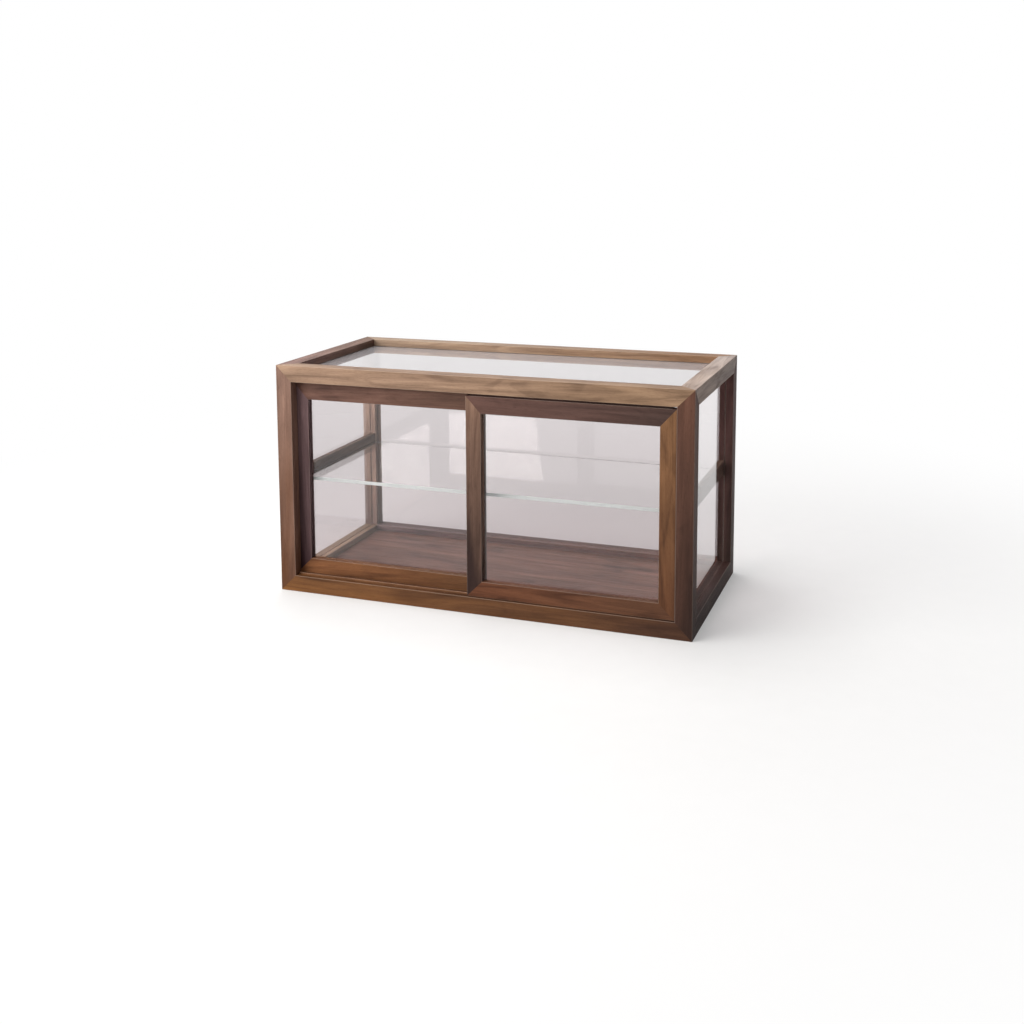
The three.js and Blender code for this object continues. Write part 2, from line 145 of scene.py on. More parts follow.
paint, tree = new_material("floor_paint")
place = shader_node(tree, "TexCoord").outputs["Object"]
grit = shader_node(tree, "TexNoise", {"Vector": place, "Scale": 40.0, "Detail": 3.0})
shade = shader_node(tree, "Mix", {0: grit.outputs[0], 6: (0.84, 0.835, 0.83, 1), 7: (0.87, 0.865, 0.86, 1)},
                    data_type="RGBA")
# Painted shade: seen through glass, the floor takes a darker grey, standing in for the shade behind the
# case.
through = shader_node(tree, "LightPath").outputs["Is Transmission Ray"]
dimmed = shader_node(tree, "Mix", {0: through, 6: shade.outputs[2], 7: (0.70, 0.68, 0.685, 1)},
                     data_type="RGBA")
bounced = shader_node(tree, "Mix", {0: looked_at(tree), 6: (0.42, 0.41, 0.41, 1), 7: dimmed.outputs[2]},
                      data_type="RGBA")
matt = shader_node(tree, "BsdfPrincipled", {
    "Base Color": bounced.outputs[2], "Roughness": 0.95, "Specular IOR Level": 0.1})
glow = shader_node(tree, "Emission", {"Color": (1, 1, 1, 1), "Strength": 1.0})
away = shader_node(tree, "VectorMath", {0: place}, operation="LENGTH").outputs["Value"]
fade = shader_node(tree, "MapRange", {
    "Value": away, "From Min": 0.30, "From Max": 1.10, "To Min": 0.25, "To Max": 1.0},
    interpolation_type="SMOOTHSTEP").outputs[0]
blend = shader_node(tree, "Math", {0: fade, 1: looked_at(tree)}, operation="MULTIPLY").outputs[0]
sweep = shader_node(tree, "MixShader", {0: blend, 1: matt.outputs[0], 2: glow.outputs[0]})
shader_node(tree, "OutputMaterial", {"Surface": sweep.outputs[0]})
floor_mesh.materials.append(paint)

# %% Surround and soft boxes
world = bpy.data.worlds.new("surround")
bpy.context.scene.world = world
world.use_nodes = True
tree = world.node_tree
tree.nodes.clear()
direction = shader_node(tree, "TexCoord").outputs["Generated"]
toward = shader_node(tree, "VectorMath", {0: direction, 1: (-0.65, -0.35, 0.67)}, operation="DOT_PRODUCT")
strength = shader_node(tree, "MapRange", {
    "Value": toward.outputs["Value"], "From Min": -0.5, "From Max": 1.0, "To Min": 0.02, "To Max": 0.85})
lighting = shader_node(tree, "Background", {
    "Color": (0.98, 0.97, 0.97, 1), "Strength": strength.outputs[0]})
white = shader_node(tree, "Background", {"Color": (1, 1, 1, 1), "Strength": 1.0})
both = shader_node(tree, "MixShader", {0: looked_at(tree), 1: lighting.outputs[0], 2: white.outputs[0]})
shader_node(tree, "OutputWorld", {"Surface": both.outputs[0]})


LAMP_TARGET = Vector((0, 0, 0.12))


def soft_box(name, place, size, watts, colour):
    lamp = bpy.data.lights.new(name, "AREA")
    lamp.shape = "RECTANGLE"
    lamp.size, lamp.size_y = size
    lamp.energy = watts
    lamp.color = colour
    box = bpy.data.objects.new(name, lamp)
    box.location = place
    box.rotation_euler = (LAMP_TARGET - Vector(place)).to_track_quat("-Z", "Y").to_euler()
    bpy.context.scene.collection.objects.link(box)
    print("soft box", name, watts, "W")


soft_box("key", (-1.5, -1.8, 0.95), (1.8, 1.5), 56, (1.0, 0.985, 0.96))
soft_box("overhead", (-0.4, 0.1, 1.9), (1.3, 1.0), 16, (1.0, 0.99, 0.98))
soft_box("back_fill", (-0.8, 1.6, 1.6), (1.4, 0.8), 8, (0.97, 0.985, 1.0))
bpy.context.scene.view_settings.view_transform = "Standard"

# %% [markdown]
# ## Wood
# The bars are an oiled brown hardwood with soft streaks, a few dark smudges and fine pores. Each one runs
# from one colour to another along its length, partly the wood's own drift and partly painted shade, darker
# where the bar gets less light. A flat image of grain could be wrapped on, but grain worked out in space
# runs right through each bar, so a streak on one face carries on round the corner.

# %% Wood material
TURNS = {"x": (0, 0, 0), "y": (0, 0, -math.pi / 2), "z": (0, math.pi / 2, 0)}


def linear(colour):
    """A screen colour, 0 to 255, as the light it stands for."""
    parts = [value / 255 for value in colour]
    return tuple(c / 12.92 if c <= 0.04045 else ((c + 0.055) / 1.055) ** 2.4 for c in parts) + (1.0,)


def wood(name, along, low_tone, high_tone, shift, span=(-0.255, 0.255), streak=0.55, smudge=0.5):
    material, tree = new_material(name)
    place = shader_node(tree, "TexCoord").outputs["Object"]
    turn = shader_node(tree, "Mapping", {"Vector": place, "Rotation": TURNS[along]}).outputs[0]
    lean = shader_node(tree, "Mapping", {
        "Vector": turn, "Location": (shift, 0.045 + 0.013 * math.sin(9 * shift), 0.075),
        "Rotation": (0.3 * shift, 0.025, 0.03 * math.cos(7 * shift))}).outputs[0]

    def noise(scale, detail, rough, warp=0.0):
        stretched = shader_node(tree, "VectorMath", {0: lean, 1: scale}, operation="MULTIPLY").outputs[0]
        return shader_node(tree, "TexNoise", {
            "Vector": stretched, "Scale": 1.0, "Detail": detail,
            "Roughness": rough, "Distortion": warp}).outputs[0]

    def maths(operation, first, second, clamp=False):
        return shader_node(tree, "Math", {0: first, 1: second},
                           operation=operation, use_clamp=clamp).outputs[0]

    def ranged(value, start, stop, low, high, smooth=False):
        return shader_node(tree, "MapRange", {
            "Value": value, "From Min": start, "From Max": stop, "To Min": low, "To Max": high},
            interpolation_type="SMOOTHSTEP" if smooth else "LINEAR").outputs[0]

    broad = noise((4, 30, 30), 2.0, 0.5, 0.6)
    swirl = noise((7, 75, 75), 3.0, 0.55, 1.1)
    fibres = noise((13, 520, 520), 4.0, 0.6, 0.2)
    pores = noise((170, 3600, 3600), 1.0, 0.5)
    smudges = ranged(noise((16, 42, 42), 2.0, 0.5, 0.8), 0.58, 0.70, 0.0, 1.0, smooth=True)
    pore = ranged(pores, 0.40, 0.33, 0.0, 1.0)

    # Along the bar the colour runs from low_tone to high_tone, blotched by broad noise. For the frame and
    # door bars the two tones hold painted shade as well as the wood's colour, so this run paints that shade
    # along the bar.
    length = shader_node(tree, "SeparateXYZ", {0: place}).outputs["xyz".index(along)]
    run = ranged(length, span[0], span[1], 0.0, 1.0)
    tone_and_shade_along = maths("ADD", run, maths("MULTIPLY", maths("SUBTRACT", broad, 0.5), 1.1), clamp=True)
    base = shader_node(tree, "Mix", {
        0: tone_and_shade_along, 6: linear(low_tone), 7: linear(high_tone)}, data_type="RGBA").outputs[2]

    level = maths("ADD", 0.5, maths("MULTIPLY", maths("SUBTRACT", swirl, 0.5), 1.5))
    level = maths("ADD", level, maths("MULTIPLY", maths("SUBTRACT", fibres, 0.5), streak))
    level = maths("SUBTRACT", level, maths("MULTIPLY", smudges, 0.34 * smudge), clamp=True)
    ramp = shader_node(tree, "ValToRGB", {0: level})
    ramp.color_ramp.elements[0].position = 0.0
    ramp.color_ramp.elements[0].color = (0.40, 0.36, 0.36, 1)
    ramp.color_ramp.elements[1].position = 1.0
    ramp.color_ramp.elements[1].color = (1.55, 1.6, 1.62, 1)
    ramp.color_ramp.elements.new(0.5).color = (1, 1, 1, 1)
    grained = shader_node(tree, "Mix", {0: 1.0, 6: base, 7: ramp.outputs[0]},
                          data_type="RGBA", blend_type="MULTIPLY").outputs[2]

    deep = shader_node(tree, "Mix", {0: 1.0, 6: base, 7: (0.3, 0.27, 0.27, 1)},
                       data_type="RGBA", blend_type="MULTIPLY").outputs[2]
    pored = shader_node(tree, "Mix", {
        0: maths("MULTIPLY", pore, 0.35), 6: grained, 7: deep}, data_type="RGBA").outputs[2]
    pale = shader_node(tree, "Mix", {0: 0.28, 6: base, 7: (0.62, 0.50, 0.42, 1)},
                       data_type="RGBA").outputs[2]
    arris = shader_node(tree, "Attribute", attribute_name="arris").outputs["Fac"]
    rubbed = shader_node(tree, "Mix", {
        0: maths("MULTIPLY", arris, 0.6), 6: pored, 7: pale}, data_type="RGBA").outputs[2]
    dull = maths("ADD", ranged(fibres, 0.3, 0.7, 0.62, 0.46), maths("MULTIPLY", pore, 0.15))
    height = maths("SUBTRACT", maths("MULTIPLY", fibres, 0.5), pore)
    bump = shader_node(tree, "Bump", {"Height": height, "Strength": 0.3, "Distance": 0.0002})
    surface = shader_node(tree, "BsdfPrincipled", {
        "Base Color": rubbed, "Roughness": dull, "Normal": bump.outputs[0],
        "IOR": 1.45, "Specular IOR Level": 0.2})
    shader_node(tree, "OutputMaterial", {"Surface": surface.outputs[0]})
    return material


# %% [markdown]
# ## Glass
# Float glass is clear on its faces and pale aqua on its ground edges, where the light has come a long
# way through it. So a pane has two materials, one for the faces and one for the rim. The shelf's front
# edge glows a little, because light that enters the shelf's faces comes out there. Glass that bends
# light also casts a hard shadow in a path tracer, which real panes don't, so lamps go straight through.
# The top pane is made milky: it passes only part of the light, so from above it looks nearly white.

# %% Glass materials
def glass(name, tint, clear=1.0):
    material, tree = new_material(name)
    place = shader_node(tree, "TexCoord").outputs["Object"]
    wave = shader_node(tree, "TexNoise", {"Vector": place, "Scale": 7.0, "Detail": 1.0}).outputs[0]
    bump = shader_node(tree, "Bump", {"Height": wave, "Strength": 0.05, "Distance": 0.0005})
    duller = tuple(0.97 * value for value in tint)
    shade = shader_node(tree, "Mix", {0: wave, 6: (*tint, 1), 7: (*duller, 1)}, data_type="RGBA").outputs[2]
    solid = shader_node(tree, "BsdfPrincipled", {
        "Base Color": shade, "Roughness": 0.0, "Normal": bump.outputs[0],
        "IOR": 1.5, "Transmission Weight": clear})
    open_air = shader_node(tree, "BsdfTransparent", {"Color": (*tint, 1)})
    lamp_ray = shader_node(tree, "LightPath").outputs["Is Shadow Ray"]
    either = shader_node(tree, "MixShader", {0: lamp_ray, 1: solid.outputs[0], 2: open_air.outputs[0]})
    shader_node(tree, "OutputMaterial", {"Surface": either.outputs[0]})
    return material


def ground_edge(name, colour, clear, glow=0.0):
    material, tree = new_material(name)
    place = shader_node(tree, "TexCoord").outputs["Object"]
    grain = shader_node(tree, "TexNoise", {"Vector": place, "Scale": 900.0, "Detail": 2.0}).outputs[0]
    patch = shader_node(tree, "TexNoise", {"Vector": place, "Scale": 30.0, "Detail": 2.0}).outputs[0]
    deeper = tuple(0.82 * value for value in colour)
    body = shader_node(tree, "Mix", {0: patch, 6: (*colour, 1), 7: (*deeper, 1)},
                       data_type="RGBA").outputs[2]
    frost = shader_node(tree, "MapRange", {"Value": grain, "To Min": 0.25, "To Max": 0.45}).outputs[0]
    bump = shader_node(tree, "Bump", {"Height": grain, "Strength": 0.2, "Distance": 0.0001})
    rim = shader_node(tree, "BsdfPrincipled", {
        "Base Color": body, "Roughness": frost, "Normal": bump.outputs[0],
        "IOR": 1.5, "Transmission Weight": clear,
        "Emission Color": (*colour, 1), "Emission Strength": glow})
    shader_node(tree, "OutputMaterial", {"Surface": rim.outputs[0]})
    return material


pane_glass = glass("pane_glass", (0.84, 0.81, 0.815))
top_glass = glass("top_glass", (0.64, 0.62, 0.63), clear=0.62)
shelf_glass = glass("shelf_glass", (0.94, 0.945, 0.94))
pane_edge = ground_edge("pane_edge", (0.62, 0.80, 0.76), 0.5)
shelf_edge = ground_edge("shelf_edge", (0.80, 0.90, 0.88), 0.4, glow=0.12)
hidden_edge = ground_edge("hidden_edge", (0.80, 0.86, 0.85), 0.9)


# %% Zinc-plated steel
def zinc(name):
    material, tree = new_material(name)
    place = shader_node(tree, "TexCoord").outputs["Object"]
    cells = shader_node(tree, "TexVoronoi", {"Vector": place, "Scale": 420.0}).outputs["Color"]
    spangle = shader_node(tree, "Mix", {0: cells, 6: (0.50, 0.51, 0.52, 1), 7: (0.66, 0.67, 0.67, 1)},
                          data_type="RGBA").outputs[2]
    scratch = shader_node(tree, "TexNoise", {"Vector": place, "Scale": 1500.0, "Detail": 2.0}).outputs[0]
    gloss = shader_node(tree, "MapRange", {"Value": scratch, "To Min": 0.25, "To Max": 0.5}).outputs[0]
    bump = shader_node(tree, "Bump", {"Height": scratch, "Strength": 0.15, "Distance": 0.0001})
    plate = shader_node(tree, "BsdfPrincipled", {
        "Base Color": spangle, "Metallic": 1.0, "Roughness": gloss, "Normal": bump.outputs[0]})
    shader_node(tree, "OutputMaterial", {"Surface": plate.outputs[0]})
    return material


steel = zinc("zinc_plate")
print("materials so far", len(bpy.data.materials))

# %% [markdown]
# ## Shaping a bar
# A joiner moulds the section first, with its grooves, and cuts the ends afterwards. The same order works
# here: draw the section as one face, extrude it, slice the ends with planes, and ease the long arrises.
# A cube with boolean cuts would give the same bar, but the section shows every groove in one list.

# %% Helpers that mould, mitre and ease a bar
CUT_FIT = 1e-7    # metres; a corner nearer than this to a cut lies on it
ARRIS_TURN = 1.2  # radians; flatter edges aren't arrises


def new_bar():
    bm = bmesh.new()
    bm.faces.layers.float.new("arris")
    return bm


def draw_out(bm, faces, travel):
    """Extrudes faces by travel. The old faces stay where they were."""
    made = bmesh.ops.extrude_face_region(bm, geom=faces)["geom"]
    bmesh.ops.translate(bm, vec=travel, verts=[v for v in made if isinstance(v, bmesh.types.BMVert)])


def extrude_outline(bm, outline, origin, across, through, travel):
    corners = [bm.verts.new(origin + u * across + v * through) for u, v in outline]
    draw_out(bm, [bm.faces.new(corners)], travel)
    bmesh.ops.recalc_face_normals(bm, faces=bm.faces)


def section(size, far_slots=(), side_slots=(), rebate=None, foot_slot=None):
    """A rectangle u by v. far_slots open on the far u face, side_slots on the far v face."""
    w, t = size
    points = [(0.0, 0.0), (w, 0.0)]
    for low, high, floor_at in far_slots:
        points += [(w, low), (floor_at, low), (floor_at, high), (w, high)]
    points += [(w, rebate[1]), (rebate[0], rebate[1]), (rebate[0], t)] if rebate else [(w, t)]
    for low, high, floor_at in side_slots:
        points += [(high, t), (high, floor_at), (low, floor_at), (low, t)]
    points.append((0.0, t))
    if foot_slot:
        low, high, depth = foot_slot
        points += [(0.0, high), (depth, high), (depth, low), (0.0, low)]
    return points


def slice_off(bm, point, outward):
    geometry = bm.verts[:] + bm.edges[:] + bm.faces[:]
    cut = bmesh.ops.bisect_plane(bm, geom=geometry, dist=CUT_FIT, plane_co=point,
                                 plane_no=outward.normalized(), clear_outer=True)
    rim = [e for e in cut["geom_cut"] if isinstance(e, bmesh.types.BMEdge)]
    bmesh.ops.holes_fill(bm, edges=rim, sides=0)


def ease_arrises(bm, width, at_least):
    layer = bm.faces.layers.float["arris"]
    bmesh.ops.recalc_face_normals(bm, faces=bm.faces)
    arrises = [e for e in bm.edges if e.is_manifold and e.is_convex
               and e.calc_length() > at_least and e.calc_face_angle() > ARRIS_TURN]
    rounded = bmesh.ops.bevel(bm, geom=arrises, offset=width, offset_type="OFFSET", segments=2,
                              profile=0.5, affect="EDGES", clamp_overlap=True, material=-1)
    for face in rounded["faces"]:
        face[layer] = 1.0


# %% Helper that turns a bmesh into a piece on its body
def put(bm, name, body, materials, replaces):
    bmesh.ops.recalc_face_normals(bm, faces=bm.faces)
    loose = sum(1 for e in bm.edges if not e.is_manifold)
    mesh = bpy.data.meshes.new(name)
    bm.to_mesh(mesh)
    bm.free()
    for material in materials:
        mesh.materials.append(material)
    piece = bpy.data.objects.new(name, mesh)
    bpy.context.scene.collection.objects.link(piece)
    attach(piece, body)
    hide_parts(replaces)
    if loose:
        print("open edges in", name, loose)


# %% [markdown]
# ## The frame
# Three bars meet at each corner in a three-way mitre, so no end grain shows anywhere. In the corner, each
# bar keeps the wood that is nearest to its own line: two slanting cuts on each end do that. The depths
# of the grooves come from the glass, board and runners that sit in them.

# %% Depths of the grooves, measured in from the outer faces
JOINT = 0.02 * MM         # hairline between two mitred ends
SLOT_FIT = 0.2 * MM       # play beside a piece in its groove
SLOT_END = 0.5 * MM       # play past its edge
DOOR_PLAY = 0.5 * MM      # between a door and the wood that it passes
TONGUE = (5.5 * MM, 8.5 * MM)  # from a door's face
TONGUE_SLOT_DEPTH = 6 * MM
JAMB_REBATE = 5 * MM
EASE = 0.6 * MM
low_corner, high_corner = (Vector(corner) for corner in cad_box)
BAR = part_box("front_left_post")[1][0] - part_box("front_left_post")[0][0]


def depth(value, axis, side):
    return (high_corner[axis] - value) if side > 0 else (value - low_corner[axis])


def slot_for(node, axis, side, edge_axis, edge_side, fit=SLOT_FIT):
    low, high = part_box(node)
    faces = sorted(depth(corner[axis], axis, side) for corner in (low, high))
    edge = depth((high if edge_side > 0 else low)[edge_axis], edge_axis, edge_side)
    return faces[0] - fit, faces[1] + fit, edge - SLOT_END


front_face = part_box("right_door_foot_rail")[0][1]
rear_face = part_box("left_door_foot_rail")[0][1]
tongue_slot = tuple(depth(front_face + y, 1, -1) + fit for y, fit in zip(TONGUE, (-SLOT_END, SLOT_END)))
runner_low, runner_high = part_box("front_runner")
runner_slot = (depth(runner_low[1], 1, -1) - SLOT_FIT, depth(runner_high[1], 1, -1) + SLOT_FIT)
print("bar", round(BAR / MM, 1), "mm, tongue slot", [round(v / MM, 1) for v in tongue_slot])


# %% Mould and mitre the twelve bars
def frame_bar(along, sides, outline):
    (first, first_side), (second, second_side) = sides
    axes = (X, Y, Z)
    origin = Vector((0, 0, 0))
    origin[along] = low_corner[along]
    for axis, side in sides:
        origin[axis] = (high_corner if side > 0 else low_corner)[axis]
    across, through = -first_side * axes[first], -second_side * axes[second]
    length = high_corner[along] - low_corner[along]
    bm = new_bar()
    extrude_outline(bm, outline, origin, across, through, axes[along] * length)
    for end, inward in ((origin, axes[along]), (origin + axes[along] * length, -axes[along])):
        for other in (across, through):
            slice_off(bm, end + inward * JOINT, other - inward)
    return bm


def side_word(side):
    return "right" if side > 0 else "left"


# The colour at each bar's low end and high end, and where in the plank it was cut. The colours are the
# wood's
# own tone with painted shade in them: bars that face away from the light, such as the right-hand posts and
# the right bottom rail, are darker, and every post is darker towards the bottom.
FRAME_TONE_AND_SHADE = {
    "front_top_rail": ((154, 125, 104), (147, 118, 93), 0.31),
    "front_bottom_rail": ((121, 79, 43), (77, 51, 37), 1.73),
    "back_top_rail": ((161, 137, 116), (139, 106, 80), 2.44),
    "back_bottom_rail": ((92, 71, 72), (112, 68, 54), 3.12),
    "left_top_rail": ((137, 105, 96), (100, 76, 62), 4.21),
    "left_bottom_rail": ((146, 118, 98), (126, 103, 79), 5.02),
    "right_top_rail": ((171, 150, 136), (179, 165, 158), 6.33),
    "right_bottom_rail": ((52, 36, 32), (68, 48, 43), 7.18),
    "front_left_post": ((88, 55, 35), (137, 107, 93), 8.27),
    "front_right_post": ((48, 31, 25), (93, 62, 49), 9.36),
    "back_left_post": ((104, 82, 74), (186, 158, 138), 10.4),
    "back_right_post": ((62, 48, 43), (90, 63, 59), 11.15),
}
bars = {
    "front_top_rail": (0, ((1, -1), (2, 1)), section(
        (BAR, BAR), [slot_for("top_pane", 2, 1, 1, -1)], [(*tongue_slot, BAR - TONGUE_SLOT_DEPTH)])),
    "front_bottom_rail": (0, ((1, -1), (2, -1)), section(
        (BAR, BAR), [slot_for("floor_board", 2, -1, 1, -1)],
        [(*runner_slot, runner_low[2] - SLOT_FIT)])),
    "back_top_rail": (0, ((1, 1), (2, 1)), section(
        (BAR, BAR), [slot_for("top_pane", 2, 1, 1, 1)], [slot_for("back_pane", 1, 1, 2, 1)])),
    "back_bottom_rail": (0, ((1, 1), (2, -1)), section(
        (BAR, BAR), [slot_for("floor_board", 2, -1, 1, 1)], [slot_for("back_pane", 1, 1, 2, -1)])),
}
door_rebate = (BAR - JAMB_REBATE, depth(rear_face, 1, -1) - DOOR_PLAY)
for side in (-1, 1):
    word = side_word(side)
    pane = word + "_pane"
    bars[word + "_top_rail"] = (1, ((0, side), (2, 1)), section(
        (BAR, BAR), [slot_for("top_pane", 2, 1, 0, side)], [slot_for(pane, 0, side, 2, 1)]))
    bars[word + "_bottom_rail"] = (1, ((0, side), (2, -1)), section(
        (BAR, BAR), [slot_for("floor_board", 2, -1, 0, side)], [slot_for(pane, 0, side, 2, -1)]))
    bars["front_" + word + "_post"] = (2, ((0, side), (1, -1)), section(
        (BAR, BAR), [], [slot_for(pane, 0, side, 1, -1)], rebate=door_rebate))
    bars["back_" + word + "_post"] = (2, ((0, side), (1, 1)), section(
        (BAR, BAR), [slot_for("back_pane", 1, 1, 0, side)], [slot_for(pane, 0, side, 1, 1)]))
print("bars to mould", len(bars))


# %% [markdown]
# The back top rail also carries two keyhole plates, let in flush, with a pocket behind each for the head
# of the wall screw. A blind recess is pushed in from the face: the face is cut along the recess's four
# sides, and the patch in the middle is extruded inwards. The operator leaves the old patch behind as a
# lid over the recess, so that is deleted.

# %% Helpers that push part of a flat face in or out
ON_PLANE = 1e-6  # metres; a corner nearer than this to a plane belongs to it


def flat_faces(bm, axis, level):
    return [f for f in bm.faces if all(abs(v.co[axis] - level) < ON_PLANE for v in f.verts)]


def score(bm, faces, axis, place):
    """Cuts the faces along the plane where the axis has this value."""
    edges = list({e for f in faces for e in f.edges})
    corners = list({v for f in faces for v in f.verts})
    normal = (X, Y, Z)[axis]
    bmesh.ops.bisect_plane(bm, geom=faces + edges + corners, dist=CUT_FIT,
                           plane_co=normal * place, plane_no=normal)


def push(bm, faces, travel):
    """Moves part of a face in or out, with walls round it and no lid left behind."""
    draw_out(bm, faces, travel)
    bmesh.ops.delete(bm, geom=faces, context="FACES")


def push_patch(bm, axis, level, ranges, travel):
    for cross, limits in ranges.items():
        for place in limits:
            score(bm, flat_faces(bm, axis, level), cross, place)
    patch = [f for f in flat_faces(bm, axis, level) if all(
        low < f.calc_center_median()[cross] < high for cross, (low, high) in ranges.items())]
    push(bm, patch, travel)


# %% Finish the twelve bars
MOST = 0.6               # only edges longer than this share of a bar are eased
PLATE_FIT = 0.15 * MM
POCKET_HALF = 5.5 * MM   # half the pocket's width
POCKET_FOOT = 0.6 * MM   # up from the plate's lower edge
POCKET_ROOF = 1.5 * MM   # down from the plate's upper edge
POCKET_DEPTH = 4.7 * MM  # in from the plate's recess


def let_in_hanger(bm, plate):
    low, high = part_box(plate)
    ranges = {axis: (low[axis] - PLATE_FIT, high[axis] + PLATE_FIT) for axis in (0, 2)}
    seat = low[1] - PLATE_FIT
    push_patch(bm, 1, high_corner[1], ranges, Y * (seat - high_corner[1]))
    middle = (low[0] + high[0]) / 2
    ranges = {0: (middle - POCKET_HALF, middle + POCKET_HALF),
              2: (low[2] + POCKET_FOOT, high[2] - POCKET_ROOF)}
    push_patch(bm, 1, seat, ranges, -POCKET_DEPTH * Y)


# Each bar's two tones carry painted shade as well as the wood's colour.
for name, (along, sides, outline) in bars.items():
    low_tone, high_tone, shift = FRAME_TONE_AND_SHADE[name]
    span = (low_corner[along], high_corner[along])
    look = wood("case_" + name, "xyz"[along], low_tone, high_tone, shift, span)
    bm = frame_bar(along, sides, outline)
    ease_arrises(bm, EASE, MOST * (span[1] - span[0]))
    if name == "back_top_rail":
        let_in_hanger(bm, "left_hanger_plate")
        let_in_hanger(bm, "right_hanger_plate")
    put(bm, "bar_" + name, "case", [look], replaces=name)
print("frame made of", len(bars), "bars")

# %% [markdown]
# ## The doors
# Each door is a flat mitred frame round one pane. The mitres don't fall at exactly 45 degrees, because
# the head rail is a little deeper than the stiles, so each cut is taken from the outer corner to the
# inner one. A tongue on the head runs in the case's top groove, and a slot in the foot rides a runner.

# %% Door frames
# The colour at each door bar's low end and high end, and where in the plank it was cut. The colours are the
# wood's own tone with painted shade in them: the left stiles are much darker towards the bottom, the left
# door's where the post shades it, and the right door's head rail is dark where the case's top rail shades
# it.
DOOR_TONE_AND_SHADE = {
    "left_door": {
        "foot_rail": ((122, 78, 48), (95, 62, 38), 0.83),
        "right_stile": ((80, 58, 48), (84, 62, 52), 1.57),
        "head_rail": ((112, 80, 69), (101, 73, 61), 2.91),
        "left_stile": ((56, 35, 38), (128, 102, 103), 3.66)},
    "right_door": {
        "foot_rail": ((102, 62, 41), (93, 61, 43), 4.75),
        "right_stile": ((92, 58, 37), (124, 88, 59), 5.41),
        "head_rail": ((94, 66, 58), (69, 52, 47), 6.68),
        "left_stile": ((49, 32, 28), (137, 106, 88), 7.52)},
}
DOOR_EASE = 0.5 * MM
RUNNER_PLAY = 0.4 * MM    # beside a runner, in a door's foot
RUNNER_ROOM = 0.3 * MM    # above it
TONGUE_INSET = 5.4 * MM   # from each end of the head


def push_lips(bm, level, slot, travel):
    """Splits a bar's lower end along the runner slot and draws the wood on both sides of it down."""
    for place in slot:
        score(bm, flat_faces(bm, 2, level), 1, place)
    lips = [f for f in flat_faces(bm, 2, level) if not slot[0] < f.calc_center_median()[1] < slot[1]]
    push(bm, lips, travel)


def door_frame(door, door_tone_and_shade):
    foot_low, foot_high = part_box(door + "_foot_rail")
    left_low, left_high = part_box(door + "_left_stile")
    right_low, right_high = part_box(door + "_right_stile")
    head_low, head_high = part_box(door + "_head_rail")
    pane_low, pane_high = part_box(door + "_pane")
    face, thick = foot_low[1], foot_high[1] - foot_low[1]
    top = left_high[2] + (left_low[2] - foot_low[2])
    outer = {"bl": (left_low[0], foot_low[2]), "br": (right_high[0], foot_low[2]),
             "tr": (right_high[0], top), "tl": (left_low[0], top)}
    inner = {"bl": (left_high[0], foot_high[2]), "br": (right_low[0], foot_high[2]),
             "tr": (right_low[0], head_low[2]), "tl": (left_high[0], head_low[2])}
    glass_slot = (pane_low[1] - face - SLOT_FIT, pane_high[1] - face + SLOT_FIT)
    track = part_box("front_runner" if door == "right_door" else "rear_runner")
    foot_slot = (track[0][1] - face - RUNNER_PLAY, track[1][1] - face + RUNNER_PLAY)
    slot_top = track[1][2] + RUNNER_ROOM
    sides = {"foot_rail": ("bl", "br", Z), "right_stile": ("br", "tr", -X),
             "head_rail": ("tr", "tl", -Z), "left_stile": ("tl", "bl", X)}
    pane_edges = {"foot_rail": pane_low[2] - foot_low[2], "right_stile": right_high[0] - pane_high[0],
                  "head_rail": top - pane_high[2], "left_stile": pane_low[0] - left_low[0]}

    def step_in(corner):
        """From the frame's outer corner to its inner one."""
        return Vector((inner[corner][0] - outer[corner][0], 0, inner[corner][1] - outer[corner][1]))

    for part, (start, stop, across) in sides.items():
        first, last = (Vector((outer[c][0], face, outer[c][1])) for c in (start, stop))
        travel = last - first
        inward = travel.normalized()
        width = abs(step_in(start).dot(across))
        slots = [(*glass_slot, pane_edges[part] - SLOT_END)]
        under = (*foot_slot, slot_top - foot_low[2]) if part == "foot_rail" else None
        bm = new_bar()
        outline = section((width, thick), slots, foot_slot=under)
        if part in ("left_stile", "right_stile"):
            # The stile starts level with the top of the runner slot, and two lips reach down beside it.
            lifted = Vector((0, 0, slot_top - foot_low[2]))
            base = first + lifted if part == "right_stile" else last + lifted
            extrude_outline(bm, outline, base, across, Y, Z * (top - slot_top))
            push_lips(bm, slot_top, (face + foot_slot[0], face + foot_slot[1]), -lifted)
        else:
            extrude_outline(bm, outline, first, across, Y, travel)
        for point, corner, way in ((first, start, inward), (last, stop, -inward)):
            run, rise = abs(step_in(corner).dot(way)), abs(step_in(corner).dot(across))
            slice_off(bm, point + way * JOINT, across * run - way * rise)
        if part == "head_rail":
            ranges = {0: (outer["tl"][0] + TONGUE_INSET, outer["tr"][0] - TONGUE_INSET),
                      1: (face + TONGUE[0], face + TONGUE[1])}
            push_patch(bm, 2, top, ranges, Z * (head_high[2] - top))
        ease_arrises(bm, DOOR_EASE, MOST * travel.length)
        axis = 0 if "rail" in part else 2
        low_tone, high_tone, shift = door_tone_and_shade[part]
        span = tuple(corner[axis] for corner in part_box(door + "_" + part))
        look = wood(door + "_" + part + "_wood", "xyz"[axis], low_tone, high_tone, shift, span)
        put(bm, door + "_frame_" + part, door, [look], replaces=door + "_" + part)


for door, door_tone_and_shade in DOOR_TONE_AND_SHADE.items():
    door_frame(door, door_tone_and_shade)
    print(door, "framed")

# %% [markdown]
# ## Strips, runners and shelf bars
# Behind the front rails a strip of wood makes the far wall of the rear door's track, above and below.
# The doors slide on two thin ribs. The shelf's ends slide into two grooved bars, and those are thinned
# at the front so that the edge of the rear door can pass.

